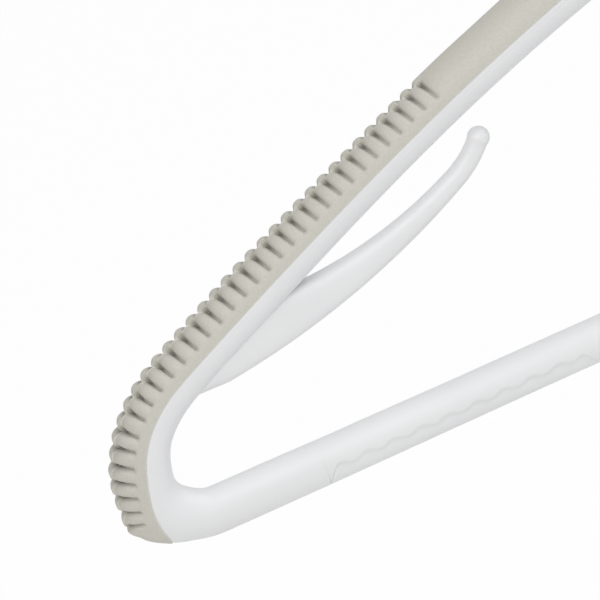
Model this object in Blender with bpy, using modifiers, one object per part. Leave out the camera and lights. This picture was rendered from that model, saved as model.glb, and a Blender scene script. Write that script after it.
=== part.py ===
# Suit hanger: white moulded body with trouser bar and strap fingers, soft ribbed shoulder grips
# and a swivelling wire hook.
# Front face towards -Y, +Z up. The origin is the rod seat, the inside top of the hook's bow.
import math

import bmesh
import bpy
from mathutils import Vector

MM = 0.001

# Clearance that touching pieces keep
GAP = 0.3 * MM

# Shoulder line, from the middle of the hanger to the underside of the tip: the radius of each
# arc and the fall angle that it ends at (0 runs level outwards, 90 straight down, 180 back)
PEAK_RADIUS = 60.0 * MM
PEAK_FALL = 11.0
SHOULDER_RADIUS = 620.0 * MM
SHOULDER_FALL = 22.8
SLEEVE_RADIUS = 1018.0 * MM
SLEEVE_FALL = 26.6
TURN_RADIUS = 90.0 * MM
TURN_FALL = 30.2
CHEEK_RADIUS = 39.3 * MM
CHEEK_FALL = 50.3
TIP_RADIUS = 27.0 * MM
TIP_FALL = 90.0
HEEL_RADIUS = 13.4 * MM
HEEL_FALL = 144.0
RUN_IN_RADIUS = 20.6 * MM
BAR_FALL = 180.0

# Body section: full height in the hanger's plane and full depth across it
NECK_END_HEIGHT = 14.2 * MM
ARM_HEIGHT = 11.2 * MM
TIP_HEIGHT = 12.3 * MM
HEEL_HEIGHT = 11.8 * MM
BAR_HEIGHT = 9.7 * MM
ARM_DEPTH = 12.0 * MM
BAR_DEPTH = 8.0 * MM
SECTION_FULLNESS = 2.2
SECTION_SIDES = 16

# Hub where the arms meet, with a flat pad on each face, and the neck on top of it
HUB_WIDTH = 36.0 * MM
HUB_HEIGHT = 23.0 * MM
HUB_DEPTH = 17.0 * MM
HUB_EDGE = 2.0 * MM
HUB_BELOW_PEAK = 6.5 * MM
NECK_RISE = 13.0 * MM
NECK_TOP_RADIUS = 6.6 * MM
NECK_ROOT_RADIUS = 8.4 * MM
NECK_EDGE = 0.8 * MM

# The body is one moulding. Its model is divided, so that each stretch is a simple solid: the hub
# ends at this arc length from the middle, an arm where the shoulder line starts to turn down, and
# its tip where the trouser bar runs straight
HUB_SPAN = 21.0 * MM

# Shoulder grips: a soft skin over the outer half of the section
GRIP_THICKNESS = 1.4 * MM
GRIP_PROUD = 0.3 * MM
GRIP_SWELL_FALL = 59.0
GRIP_HEEL_PROUD = 1.0 * MM
GRIP_PAD_PROUD = 1.5 * MM
GRIP_STOP_PROUD = 0.9 * MM
GRIP_HALF_ANGLE = 87.5
GRIP_TIP_HALF_ANGLE = 95.5
GRIP_START = 66.0 * MM
GRIP_STOP_FALL = 149.0
GRIP_END_ANGLE = 14.0
GRIP_INNER_TAPER = 26.0 * MM
GRIP_OUTER_TAPER = 9.0 * MM
PAD_EDGE = 0.5 * MM
RIB_COUNT = 32
RIB_HEIGHT = 0.6 * MM
RIB_START = 138.1 * MM
RIB_PITCH = 3.32 * MM
RIB_PITCH_GROWTH = 0.0157 * MM
GROOVE_FADE = 2.0

# Strap fingers under the arms
FINGER_ROOT_FROM_TIP = 43.6 * MM
FINGER_ROOT_SINK = 3.7 * MM
FINGER_ROOT_RISE = -2.3
FINGER_TAIL_LENGTH = 6.5 * MM
FINGER_TAIL_HEIGHT = 10.4 * MM
FINGER_SWEEP_RADIUS = 113.0 * MM
FINGER_SWEEP_RISE = 27.8
FINGER_CROOK_RADIUS = 24.7 * MM
FINGER_CROOK_RISE = 47.4
FINGER_ROOT_HEIGHT = 14.4 * MM
FINGER_ROOT_DEPTH = 7.7 * MM
FINGER_END_WIDTH = 4.3 * MM
FINGER_BALL_PROUD = 0.15 * MM

# Waved relief along the underside of the trouser bar
WAVE_PITCH = 6.17 * MM
WAVE_RUN = 60.4 * MM
WAVE_SWING = 0.5 * MM
WAVE_LINE_RISE = 0.45 * MM
WAVE_DEPTH = 0.3 * MM
WAVE_FROM_TIP = 40.9 * MM
WAVE_END_TAPER = 3.5 * MM
WAVE_END_ANGLE = 30.0

# Hook, bent from round wire
WIRE_RADIUS = 1.9 * MM
BOW_INNER_RADIUS = 20.0 * MM
BOW_OVER_ANGLE = 184.0
BOW_RETURN_RADIUS = 13.0 * MM
FLARE_RADIUS = 20.0 * MM
FLARE_ANGLE = 32.0
HOOK_REACH = 88.0 * MM
BEAD_RADIUS = 3.4 * MM
BEAD_HEIGHT = 1.8 * MM
TIP_CAP_LENGTH = 13.0 * MM
TIP_CAP_WALL = 0.9 * MM
TIP_CAP_END = 2.0 * MM

# Swivel bearing inside the neck
BUSHING_WALL = 1.9 * MM
BUSHING_LENGTH = 15.0 * MM
FLANGE_RADIUS = 5.6 * MM
FLANGE_HEIGHT = 1.3 * MM
SHELF_THICKNESS = 3.0 * MM
WASHER_RADIUS = 4.3 * MM
WASHER_HEIGHT = 0.9 * MM
NUT_FLATS = 7.0 * MM
NUT_HEIGHT = 3.2 * MM
SHANK_STAND_OUT = 1.2 * MM
POCKET_CLEARANCE = 0.6 * MM

# Fineness, with the number of steps along each arc of the shoulder line
ARC_STEPS = (2, 8, 4, 1, 3, 5, 5, 4)
ROUND_SIDES = 28
HUB_SIDES = 40
FINGER_SIDES = 12
BALL_TURNS = (0.0, 28.0, 54.0, 75.0)
TAPER_SHARES = (0.0, 0.06, 0.2, 0.45, 0.75)
WIRE_STEP = 5.0 * MM
CUT_PAST = 2.0 * MM
MERGE_DISTANCE = 0.002 * MM

# Colour, roughness and metallic value of each finish
WHITE_PLASTIC = ((0.83, 0.84, 0.86), 0.38, 0.0)
GREY_SOFT = ((0.58, 0.57, 0.52), 0.62, 0.0)
CHROME = ((0.80, 0.81, 0.83), 0.12, 1.0)
ZINC = ((0.62, 0.63, 0.65), 0.35, 1.0)
ACETAL = ((0.90, 0.90, 0.88), 0.45, 0.0)
CLEAR_VINYL = ((0.74, 0.75, 0.76), 0.30, 0.0)

# Heights and radii that follow from the sizes above
NECK_TOP_Z = -HOOK_REACH
PEAK_Z = NECK_TOP_Z - NECK_RISE
HUB_Z = PEAK_Z - HUB_BELOW_PEAK
SHANK_HOLE_RADIUS = WIRE_RADIUS + GAP
BUSHING_RADIUS = SHANK_HOLE_RADIUS + BUSHING_WALL
BUSHING_BORE_RADIUS = BUSHING_RADIUS + GAP
BUSHING_SEAT_Z = NECK_TOP_Z - BUSHING_LENGTH
SHELF_Z = BUSHING_SEAT_Z - SHELF_THICKNESS
WASHER_TOP_Z = SHELF_Z - GAP
NUT_TOP_Z = WASHER_TOP_Z - WASHER_HEIGHT - GAP
SHANK_END_Z = NUT_TOP_Z - NUT_HEIGHT - SHANK_STAND_OUT
FLANGE_TOP_Z = NECK_TOP_Z + GAP + FLANGE_HEIGHT
POCKET_RADIUS = WASHER_RADIUS + POCKET_CLEARANCE
FINGER_BALL_RADIUS = FINGER_END_WIDTH / 2.0 + FINGER_BALL_PROUD
SHOULDER_ARCS = (
    (PEAK_RADIUS, PEAK_FALL),
    (SHOULDER_RADIUS, SHOULDER_FALL),
    (SLEEVE_RADIUS, SLEEVE_FALL),
    (TURN_RADIUS, TURN_FALL),
    (CHEEK_RADIUS, CHEEK_FALL),
    (TIP_RADIUS, TIP_FALL),
    (HEEL_RADIUS, HEEL_FALL),
    (RUN_IN_RADIUS, BAR_FALL),
)


def clear_scene():
    for thing in list(bpy.data.objects):
        bpy.data.objects.remove(thing, do_unlink=True)


def make_collection(name):
    collection = bpy.data.collections.new(name)
    bpy.context.scene.collection.children.link(collection)
    return collection


def make_material(name, look):
    color, roughness, metallic = look
    material = bpy.data.materials.new(name)
    material.use_nodes = True
    shader = material.node_tree.nodes["Principled BSDF"]
    shader.inputs["Base Color"].default_value = (*color, 1.0)
    shader.inputs["Roughness"].default_value = roughness
    shader.inputs["Metallic"].default_value = metallic
    return material


def add_object(name, mesh, collection, material=None):
    thing = bpy.data.objects.new(name, mesh)
    collection.objects.link(thing)
    if material:
        mesh.materials.append(material)
    return thing


def add_solid(name, fill, collection, material=None):
    """Make an object from the bmesh that the function fill builds."""
    shape = bmesh.new()
    fill(shape)
    shape.normal_update()
    bmesh.ops.recalc_face_normals(shape, faces=shape.faces)
    mesh = bpy.data.meshes.new(name)
    shape.to_mesh(mesh)
    shape.free()
    mesh.shade_smooth()
    mesh.set_sharp_from_angle(angle=math.radians(35.0))
    return add_object(name, mesh, collection, material)


def add_turned(name, profile, collection, material=None, closed=False):
    """Turn a profile of (radius, z) points round the Z axis."""
    mesh = bpy.data.meshes.new(name)
    edges = [(i, i + 1) for i in range(len(profile) - 1)]
    if closed:
        edges.append((len(profile) - 1, 0))
    mesh.from_pydata([(radius, 0.0, z) for radius, z in profile], edges, [])
    thing = add_object(name, mesh, collection, material)
    screw = thing.modifiers.new("turn", "SCREW")
    screw.steps = ROUND_SIDES
    screw.render_steps = ROUND_SIDES
    screw.use_merge_vertices = True
    screw.merge_threshold = 0.00001
    return thing


def combine(target, others, operation):
    """Join or cut a solid with every form of a collection at once."""
    modifier = target.modifiers.new(others.name, "BOOLEAN")
    modifier.operand_type = "COLLECTION"
    modifier.collection = others
    modifier.operation = operation
    target.modifiers.new("flat faces", "TRIANGULATE")
    for other in others.objects:
        other.hide_render = True
        other.display_type = "WIRE"


def settle(target):
    """Make a joined and cut solid a plain mesh, without the slivers that fold on themselves."""
    graph = bpy.context.evaluated_depsgraph_get()
    shape = bmesh.new()
    shape.from_mesh(bpy.data.meshes.new_from_object(target.evaluated_get(graph)))
    bmesh.ops.remove_doubles(shape, verts=shape.verts, dist=MERGE_DISTANCE)
    bmesh.ops.dissolve_degenerate(shape, dist=MERGE_DISTANCE / 10.0, edges=shape.edges)
    folded = {face for edge in shape.edges if edge.is_boundary for face in edge.link_faces}
    bmesh.ops.delete(shape, geom=list(folded), context="FACES")
    target.modifiers.clear()
    shape.to_mesh(target.data)
    shape.free()


def spread(start, end, count):
    return [start + (end - start) * i / count for i in range(count + 1)]


# The shoulder line

def line_to(fall_angle):
    """Arc length from the peak to where the line has fallen to an angle in degrees."""
    length, fall = 0.0, 0.0
    for radius, end in SHOULDER_ARCS:
        length += radius * math.radians(min(end, fall_angle) - fall)
        fall = end
        if fall_angle <= end:
            break
    return length


def shoulder(s):
    """Point on the left outer line at arc length s, and its fall angle in radians."""
    x, z, fall = 0.0, PEAK_Z, 0.0
    for radius, end in SHOULDER_ARCS:
        here = min(math.radians(end), fall + s / radius)
        x -= radius * (math.sin(here) - math.sin(fall))
        z -= radius * (math.cos(fall) - math.cos(here))
        s -= radius * (here - fall)
        fall = here
        if s <= 0.0:
            break
    straight = max(s, 0.0)
    return x - straight * math.cos(fall), z - straight * math.sin(fall), fall


def eased(keys, s):
    """Value at s, eased between (arc length, value) pairs."""
    if s <= keys[0][0]:
        return keys[0][1]
    for (s0, low), (s1, high) in zip(keys, keys[1:]):
        if s <= s1:
            t = (s - s0) / (s1 - s0)
            return low + (high - low) * t * t * (3.0 - 2.0 * t)
    return keys[-1][1]


def section_height(s):
    keys = (
        (0.0, NECK_END_HEIGHT),
        (line_to(SHOULDER_FALL), ARM_HEIGHT),
        (line_to(TIP_FALL), TIP_HEIGHT),
        (line_to(HEEL_FALL), HEEL_HEIGHT),
        (line_to(BAR_FALL), BAR_HEIGHT),
    )
    return eased(keys, s)


def section_depth(s):
    keys = ((line_to(CHEEK_FALL), ARM_DEPTH), (line_to(BAR_FALL), BAR_DEPTH))
    return eased(keys, s)


def full(value):
    """A cosine or sine drawn out towards a fuller oval."""
    return math.copysign(abs(value) ** (2.0 / SECTION_FULLNESS), value)


def body_point(s, angle, grow=0.0, side=1.0):
    """Point on the body's skin: angle 0 is on the outer line, 90 degrees at the front."""
    x, z, fall = shoulder(s)
    half_height = section_height(s) / 2.0
    half_depth = section_depth(s) / 2.0
    out = (half_height + grow) * full(math.cos(angle)) - half_height
    front = (half_depth + grow) * full(math.sin(angle))
    return Vector((side * (x - math.sin(fall) * out), -front, z + math.cos(fall) * out))


def tip_x():
    """How far the tip reaches from the middle."""
    return -shoulder(line_to(TIP_FALL))[0]


def bar_at(distance_from_tip):
    """Arc length of a place on the trouser bar, at a level distance in from the tip."""
    start = line_to(BAR_FALL)
    across = distance_from_tip - (tip_x() + shoulder(start)[0])
    return start - across / math.cos(math.radians(BAR_FALL))


# Lofts

def loft(shape, rings):
    """Skin rings of points, each a closed loop."""
    loops = [[shape.verts.new(point) for point in ring] for ring in rings]
    count = len(loops[0])
    for ring, following in zip(loops, loops[1:]):
        for i in range(count):
            j = (i + 1) % count
            shape.faces.new((ring[i], ring[j], following[j], following[i]))
    return loops


def loft_crescents(shape, rings):
    """Loft crescent rings and close both ends with quads across the crescent."""
    loops = loft(shape, rings)
    for loop in (loops[0], loops[-1]):
        for i in range(len(loop) // 2 - 1):
            shape.faces.new((loop[i], loop[i + 1], loop[-2 - i], loop[-1 - i]))


def crescent(s, half_angle, inner, outer, side):
    """Loop round the outer side of the body: along the skin and back beneath it."""
    turns = spread(-half_angle, half_angle, SECTION_SIDES // 2)
    lift = outer if callable(outer) else (lambda turn: outer)
    loop = [body_point(s, turn, lift(turn), side) for turn in turns]
    return loop + [body_point(s, turn, inner, side) for turn in reversed(turns)]


def drawn_in(distance, taper):
    """Rises from 0 at an end to 1 along a quarter round of the taper's length."""
    share = min(1.0, max(0.0, distance / taper))
    return math.sqrt(1.0 - (1.0 - share) ** 2)


# Moulded body

def body_stations():
    """Arc lengths of the body's rings, close together where the line turns fast."""
    stations, start = [0.0], 0.0
    for (radius, end), steps in zip(SHOULDER_ARCS, ARC_STEPS):
        stop = line_to(end)
        stations += spread(start, stop, steps)[1:]
        start = stop
    return stations + spread(start, bar_at(tip_x()), 2)[1:]


def at_middle(ring):
    """A ring of the bar, slid along the bar onto the hanger's middle plane."""
    slope = math.tan(math.radians(BAR_FALL))
    return [Vector((0.0, point.y, point.z - point.x * slope)) for point in ring]


def make_stretch(name, start, stop, side, collection, material=None, grow=0.0):
    """The body between two arc lengths, open where it meets the hanger's middle."""
    middle = body_stations()[-1]

    def fill(shape):
        between = [s for s in body_stations() if start + GAP < s < stop - GAP]
        turns = spread(0.0, 2.0 * math.pi, SECTION_SIDES)[:-1]
        rings = [[body_point(s, turn, grow, side) for turn in turns]
                 for s in [start] + between + [stop]]
        if stop >= middle:
            rings[-1] = at_middle(rings[-1])
        loops = loft(shape, rings)
        if start > 0.0:
            shape.faces.new(loops[0])
        if stop < middle:
            shape.faces.new(loops[-1])
    stretch = add_solid(name, fill, collection, material)
    if start <= 0.0 or stop >= middle:
        mirror = stretch.modifiers.new("other half", "MIRROR")
        mirror.merge_threshold = 0.00005
    return stretch


def ribs():
    """Arc length of each rib's crest, and the pitch there."""
    places, crest, pitch = [], RIB_START, RIB_PITCH
    for rib in range(RIB_COUNT):
        places.append((crest, pitch))
        crest += pitch
        pitch += RIB_PITCH_GROWTH
    return places


def pad_start():
    """Where the last groove ends and the smooth end pad starts."""
    crest, pitch = ribs()[-1]
    return crest + pitch / 2.0


def grip_proud(s):
    """How far the grip's crests stand out of the body's skin."""
    keys = (
        (line_to(GRIP_SWELL_FALL), GRIP_PROUD),
        (line_to(TIP_FALL), GRIP_HEEL_PROUD),
        (pad_start(), GRIP_PAD_PROUD),
        (line_to(GRIP_STOP_FALL), GRIP_STOP_PROUD),
    )
    return eased(keys, s)


def grip_half_angle(s):
    """Half angle that a grip covers, in degrees, drawn in to a rounded point at its ends."""
    keys = ((line_to(TURN_FALL), GRIP_HALF_ANGLE), (line_to(TIP_FALL), GRIP_TIP_HALF_ANGLE))
    inner = drawn_in(s - GRIP_START, GRIP_INNER_TAPER)
    outer = drawn_in(line_to(GRIP_STOP_FALL) - s, GRIP_OUTER_TAPER)
    return GRIP_END_ANGLE + (eased(keys, s) - GRIP_END_ANGLE) * inner * outer


def taper_stations(start, taper, direction):
    """Places along a rounded end, close together where it closes."""
    return [start + direction * taper * share for share in TAPER_SHARES]


def grip_stations():
    """Arc lengths of a grip's rings: smooth inner stretch, then two rings to each rib."""
    stations = taper_stations(GRIP_START, GRIP_INNER_TAPER, 1.0)
    stations += spread(GRIP_START + GRIP_INNER_TAPER, RIB_START - RIB_PITCH, 3)
    for crest, pitch in ribs():
        stations += [crest - pitch / 2.0, crest]
    stations += [pad_start(), pad_start() + PAD_EDGE]
    taper = taper_stations(line_to(GRIP_STOP_FALL), GRIP_OUTER_TAPER, -1.0)
    return stations + [s for s in taper[::-1] if s > stations[-1] + PAD_EDGE]


def rib_lift(s):
    """Height of the ribs at arc length s: a round for each rib, full height elsewhere."""
    for crest, pitch in ribs():
        if abs(s - crest) <= pitch / 2.0:
            return RIB_HEIGHT * math.cos(math.pi * (s - crest) / pitch)
    return RIB_HEIGHT


def make_grip(name, side, collection, material):
    def fill(shape):
        rings = []
        for s in grip_stations():
            proud, groove = grip_proud(s), rib_lift(s) - RIB_HEIGHT

            def lift(turn, proud=proud, groove=groove):
                return proud + groove * min(1.0, GROOVE_FADE * max(0.0, math.cos(turn)))
            half_angle = math.radians(grip_half_angle(s))
            rings.append(crescent(s, half_angle, -GRIP_THICKNESS, lift, side))
        loft_crescents(shape, rings)
    return add_solid(name, fill, collection, material)


def make_grip_recess(name, side, collection):
    """Room for a grip, with the clearance all round."""
    def fill(shape):
        start, stop = GRIP_START, line_to(GRIP_STOP_FALL)
        middle = [s for s in body_stations()
                  if start + GRIP_INNER_TAPER < s < stop - GRIP_OUTER_TAPER]
        stations = taper_stations(start, GRIP_INNER_TAPER, 1.0) + middle
        stations += taper_stations(stop, GRIP_OUTER_TAPER, -1.0)[::-1]
        stations = [start - GAP] + stations + [stop + GAP]
        rings = []
        for s in stations:
            widen = 2.0 * GAP / section_depth(s)
            half_angle = math.radians(grip_half_angle(s)) + widen
            rings.append(crescent(s, half_angle, -GRIP_THICKNESS - GAP, CUT_PAST, side))
        loft_crescents(shape, rings)
    return add_solid(name, fill, collection)


def make_wave(name, side, collection):
    """Cutter for the waved relief that wraps round the underside of the bar."""
    def fill(shape):
        start = bar_at(WAVE_FROM_TIP)
        turns = math.floor(2.0 * (WAVE_RUN - WAVE_END_TAPER) / WAVE_PITCH)
        places = taper_stations(0.0, WAVE_END_TAPER, 1.0)
        places += [WAVE_PITCH / 2.0 * i for i in range(1, turns + 1)]
        places += taper_stations(WAVE_RUN, WAVE_END_TAPER, -1.0)
        rings = []
        for along in sorted(places):
            s = start + along
            rise = WAVE_LINE_RISE - WAVE_SWING * math.cos(2.0 * math.pi * along / WAVE_PITCH)
            crest_angle = 90.0 + math.degrees(math.asin(2.0 * rise / BAR_HEIGHT))
            end = drawn_in(along, WAVE_END_TAPER) * drawn_in(WAVE_RUN - along, WAVE_END_TAPER)
            half_angle = WAVE_END_ANGLE + (crest_angle - WAVE_END_ANGLE) * end
            rings.append(crescent(s, math.radians(half_angle), -WAVE_DEPTH, CUT_PAST, side))
        loft_crescents(shape, rings)
    return add_solid(name, fill, collection)


def finger_path():
    """Places along a strap finger: x, z, heading and share of its length."""
    s = line_to(TIP_FALL) - FINGER_ROOT_FROM_TIP
    start = body_point(s, math.pi, -FINGER_ROOT_SINK)
    x, z, rise = start.x, start.z, math.radians(FINGER_ROOT_RISE)
    moves = []
    for radius, end, steps in (
        (FINGER_SWEEP_RADIUS, FINGER_SWEEP_RISE, 11),
        (FINGER_CROOK_RADIUS, FINGER_CROOK_RISE, 3),
    ):
        turn = math.radians(end) - rise - sum(move[1] for move in moves)
        moves += [(radius * turn / steps, turn / steps)] * steps
    total = sum(move[0] for move in moves)
    places, gone = [(x, z, rise, 0.0)], 0.0
    for step, turn in moves:
        x += step * math.cos(rise + turn / 2.0)
        z += step * math.sin(rise + turn / 2.0)
        rise += turn
        gone += step
        places.append((x, z, rise, gone / total))
    return places


def make_finger(name, side, collection, material):
    def ring(x, z, rise, height, depth):
        points = []
        for turn in spread(0.0, 2.0 * math.pi, FINGER_SIDES)[:-1]:
            up = height / 2.0 * math.cos(turn)
            front = depth / 2.0 * math.sin(turn)
            points.append(Vector((side * (x - math.sin(rise) * up), front, z + math.cos(rise) * up)))
        return points

    def tail():
        x, z, rise, share = finger_path()[0]
        x -= FINGER_TAIL_LENGTH * math.cos(rise)
        z -= FINGER_TAIL_LENGTH * math.sin(rise)
        drop = (FINGER_ROOT_HEIGHT - FINGER_TAIL_HEIGHT) / 2.0
        x, z = x + drop * math.sin(rise), z - drop * math.cos(rise)
        return ring(x, z, rise, FINGER_TAIL_HEIGHT, FINGER_ROOT_DEPTH)

    def fill(shape):
        rings = [tail()]
        for x, z, rise, share in finger_path():
            thin = 1.0 - (1.0 - share) ** 2
            height = FINGER_ROOT_HEIGHT + (FINGER_END_WIDTH - FINGER_ROOT_HEIGHT) * thin
            depth = FINGER_ROOT_DEPTH + (FINGER_END_WIDTH - FINGER_ROOT_DEPTH) * thin
            rings.append(ring(x, z, rise, height, depth))
        neck = math.acos(FINGER_END_WIDTH / 2.0 / FINGER_BALL_RADIUS)
        back = FINGER_BALL_RADIUS * math.sin(neck)
        for turn in BALL_TURNS:
            reach = back + FINGER_BALL_RADIUS * math.sin(math.radians(turn))
            width = 2.0 * FINGER_BALL_RADIUS * math.cos(math.radians(turn))
            end_x, end_z = x + reach * math.cos(rise), z + reach * math.sin(rise)
            rings.append(ring(end_x, end_z, rise, width, width))
        loops = loft(shape, rings)
        shape.faces.new(loops[0])
        shape.faces.new(loops[-1])
    return add_solid(name, fill, collection, material)


def make_hub(name, collection):
    """Oval pad through the body, its two flat faces to the front and back."""
    def fill(shape):
        bmesh.ops.create_cone(
            shape, cap_ends=True, segments=HUB_SIDES, radius1=0.5, radius2=0.5, depth=1.0,
        )
        for vert in shape.verts:
            across, up, through = vert.co.x, vert.co.y, vert.co.z
            vert.co = (across * HUB_WIDTH, through * HUB_DEPTH, HUB_Z + up * HUB_HEIGHT)
    hub = add_solid(name, fill, collection)
    bevel = hub.modifiers.new("edge", "BEVEL")
    bevel.width = HUB_EDGE
    bevel.segments = 2
    bevel.limit_method = "ANGLE"
    bevel.angle_limit = math.radians(40.0)
    return hub


def make_neck(name, collection):
    rise = NECK_TOP_Z - HUB_Z
    profile = [(0.0, NECK_TOP_Z), (NECK_TOP_RADIUS - NECK_EDGE, NECK_TOP_Z)]
    profile.append((NECK_TOP_RADIUS, NECK_TOP_Z - NECK_EDGE))
    for share in spread(0.0, 1.0, 5)[1:]:
        radius = NECK_TOP_RADIUS + (NECK_ROOT_RADIUS - NECK_TOP_RADIUS) * share ** 2
        profile.append((radius, NECK_TOP_Z - NECK_EDGE - (rise - NECK_EDGE) * share))
    profile.append((0.0, HUB_Z))
    return add_turned(name, profile, collection)


def make_bore(name, collection):
    """Bearing bore from the top, shank hole through the shelf, pocket from below."""
    top = NECK_TOP_Z + CUT_PAST
    bottom = HUB_Z - HUB_HEIGHT / 2.0 - CUT_PAST
    profile = [
        (0.0, top),
        (BUSHING_BORE_RADIUS, top),
        (BUSHING_BORE_RADIUS, BUSHING_SEAT_Z),
        (SHANK_HOLE_RADIUS, BUSHING_SEAT_Z),
        (SHANK_HOLE_RADIUS, SHELF_Z),
        (POCKET_RADIUS, SHELF_Z),
        (POCKET_RADIUS, bottom),
        (0.0, bottom),
    ]
    return add_turned(name, profile, collection)


def make_middle(collection, material):
    """Hub with its pads and the neck, bored for the swivel."""
    middle = make_stretch("hub", 0.0, HUB_SPAN - GAP / 2.0, 1.0, collection, material)
    forms = make_collection("hub_forms")
    make_hub("pad_form", forms)
    make_neck("neck_form", forms)
    cutters = make_collection("hub_cutters")
    make_bore("neck_bore", cutters)
    combine(middle, forms, "UNION")
    combine(middle, cutters, "DIFFERENCE")
    settle(middle)


def make_arm(word, side, collection, material):
    """Arm, its tip and the strap finger under it."""
    cutters = make_collection("grip_recess_cutter_" + word)
    make_grip_recess("grip_recess_" + word, side, cutters)
    start = HUB_SPAN
    for name, stop in (("arm_", line_to(TURN_FALL)), ("arm_tip_", line_to(BAR_FALL))):
        ends = (start + GAP / 2.0, stop - GAP / 2.0)
        stretch = make_stretch(name + word, *ends, side, collection, material)
        combine(stretch, cutters, "DIFFERENCE")
        settle(stretch)
        start = stop
    finger = make_finger("strap_finger_" + word, side, collection, material)
    room = make_collection("arm_room_" + word)
    make_stretch("arm_clearance_" + word, HUB_SPAN, line_to(BAR_FALL), side, room, grow=GAP)
    combine(finger, room, "DIFFERENCE")
    settle(finger)


def make_trouser_bar(collection, material):
    """Bar between the two tips, with the waved relief on its underside."""
    start = line_to(BAR_FALL) + GAP / 2.0
    bar = make_stretch("trouser_bar", start, body_stations()[-1], 1.0, collection, material)
    cutters = make_collection("wave_cutters")
    make_wave("wave_cutter_left", 1.0, cutters)
    make_wave("wave_cutter_right", -1.0, cutters)
    combine(bar, cutters, "DIFFERENCE")
    settle(bar)


# Hook and its swivel bearing

def hook_path():
    """Centre line of the hook from the shank's end to its free end, in the XZ plane."""
    bow = BOW_INNER_RADIUS + WIRE_RADIUS
    centre_z = WIRE_RADIUS - bow
    reach = bow + BOW_RETURN_RADIUS
    low = -math.acos(BOW_RETURN_RADIUS / reach)
    return_z = centre_z + reach * math.sin(low)
    points = [(0.0, z) for z in spread(SHANK_END_Z, return_z, 4)]

    def arc(cx, cz, radius, start, end):
        count = max(3, round(abs(end - start) * radius / WIRE_STEP))
        return [(cx + radius * math.cos(a), cz + radius * math.sin(a))
                for a in spread(start, end, count)[1:]]

    points += arc(BOW_RETURN_RADIUS, return_z, BOW_RETURN_RADIUS, math.pi, math.pi + low)
    over = math.radians(BOW_OVER_ANGLE)
    points += arc(0.0, centre_z, bow, low, over)
    flare_x = (bow + FLARE_RADIUS) * math.cos(over)
    flare_z = centre_z + (bow + FLARE_RADIUS) * math.sin(over)
    end = over - math.pi - math.radians(FLARE_ANGLE)
    points += arc(flare_x, flare_z, FLARE_RADIUS, over - math.pi, end)
    heading = end - math.pi / 2.0
    x, z = points[-1]
    x += TIP_CAP_LENGTH * math.cos(heading)
    z += TIP_CAP_LENGTH * math.sin(heading)
    return points + [(x, z)], (x, z, heading)


def make_hook(collection, material):
    curve = bpy.data.curves.new("hook_line", "CURVE")
    curve.dimensions = "3D"
    curve.bevel_depth = WIRE_RADIUS
    curve.bevel_resolution = 2
    curve.use_fill_caps = True
    points = hook_path()[0]
    spline = curve.splines.new("POLY")
    spline.points.add(len(points) - 1)
    for point, (x, z) in zip(spline.points, points):
        point.co = (x, 0.0, z, 1.0)
    line = bpy.data.objects.new("hook_line", curve)
    collection.objects.link(line)
    graph = bpy.context.evaluated_depsgraph_get()
    mesh = bpy.data.meshes.new_from_object(line.evaluated_get(graph))
    bpy.data.objects.remove(line, do_unlink=True)
    shape = bmesh.new()
    shape.from_mesh(mesh)
    bmesh.ops.remove_doubles(shape, verts=shape.verts, dist=0.00001)
    bmesh.ops.recalc_face_normals(shape, faces=shape.faces)
    shape.to_mesh(mesh)
    shape.free()
    mesh.materials.clear()
    hook = add_object("hook", mesh, collection, material)
    mesh.shade_smooth()
    low = FLANGE_TOP_Z + GAP
    edge = BEAD_HEIGHT / 4.0
    forms = make_collection("hook_forms")
    add_turned("bead_form", [
        (0.0, low + BEAD_HEIGHT),
        (BEAD_RADIUS - edge, low + BEAD_HEIGHT),
        (BEAD_RADIUS, low + BEAD_HEIGHT - edge),
        (BEAD_RADIUS, low + edge),
        (BEAD_RADIUS - edge, low),
        (0.0, low),
    ], forms)
    combine(hook, forms, "UNION")
    return hook


def make_tip_cap(collection, material):
    """Soft sleeve over the free end of the hook."""
    bore = WIRE_RADIUS + GAP
    outer = bore + TIP_CAP_WALL
    depth = TIP_CAP_LENGTH - TIP_CAP_END
    profile = [(0.0, TIP_CAP_LENGTH)]
    for turn in spread(math.pi / 2.0, 0.0, 4)[1:]:
        round_z = TIP_CAP_LENGTH - outer
        profile.append((outer * math.cos(turn), round_z + outer * math.sin(turn)))
    profile += [(outer, 0.0), (bore, 0.0), (bore, depth), (0.0, depth)]
    cap = add_turned("hook_tip_cap", profile, collection, material)
    x, z, heading = hook_path()[1]
    back = depth - GAP
    cap.location = (x - back * math.cos(heading), 0.0, z - back * math.sin(heading))
    cap.rotation_euler = (0.0, math.pi / 2.0 - heading, 0.0)
    return cap


def make_bushing(collection, material):
    seat = NECK_TOP_Z + GAP
    foot = BUSHING_SEAT_Z + GAP
    edge = FLANGE_HEIGHT / 3.0
    return add_turned("neck_bushing", [
        (SHANK_HOLE_RADIUS, FLANGE_TOP_Z),
        (FLANGE_RADIUS - edge, FLANGE_TOP_Z),
        (FLANGE_RADIUS, FLANGE_TOP_Z - edge),
        (FLANGE_RADIUS, seat),
        (BUSHING_RADIUS, seat),
        (BUSHING_RADIUS, foot),
        (SHANK_HOLE_RADIUS, foot),
    ], collection, material, closed=True)


def make_washer(collection, material):
    low = WASHER_TOP_Z - WASHER_HEIGHT
    return add_turned("thrust_washer", [
        (SHANK_HOLE_RADIUS, WASHER_TOP_Z),
        (WASHER_RADIUS, WASHER_TOP_Z),
        (WASHER_RADIUS, low),
        (SHANK_HOLE_RADIUS, low),
    ], collection, material, closed=True)


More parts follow.
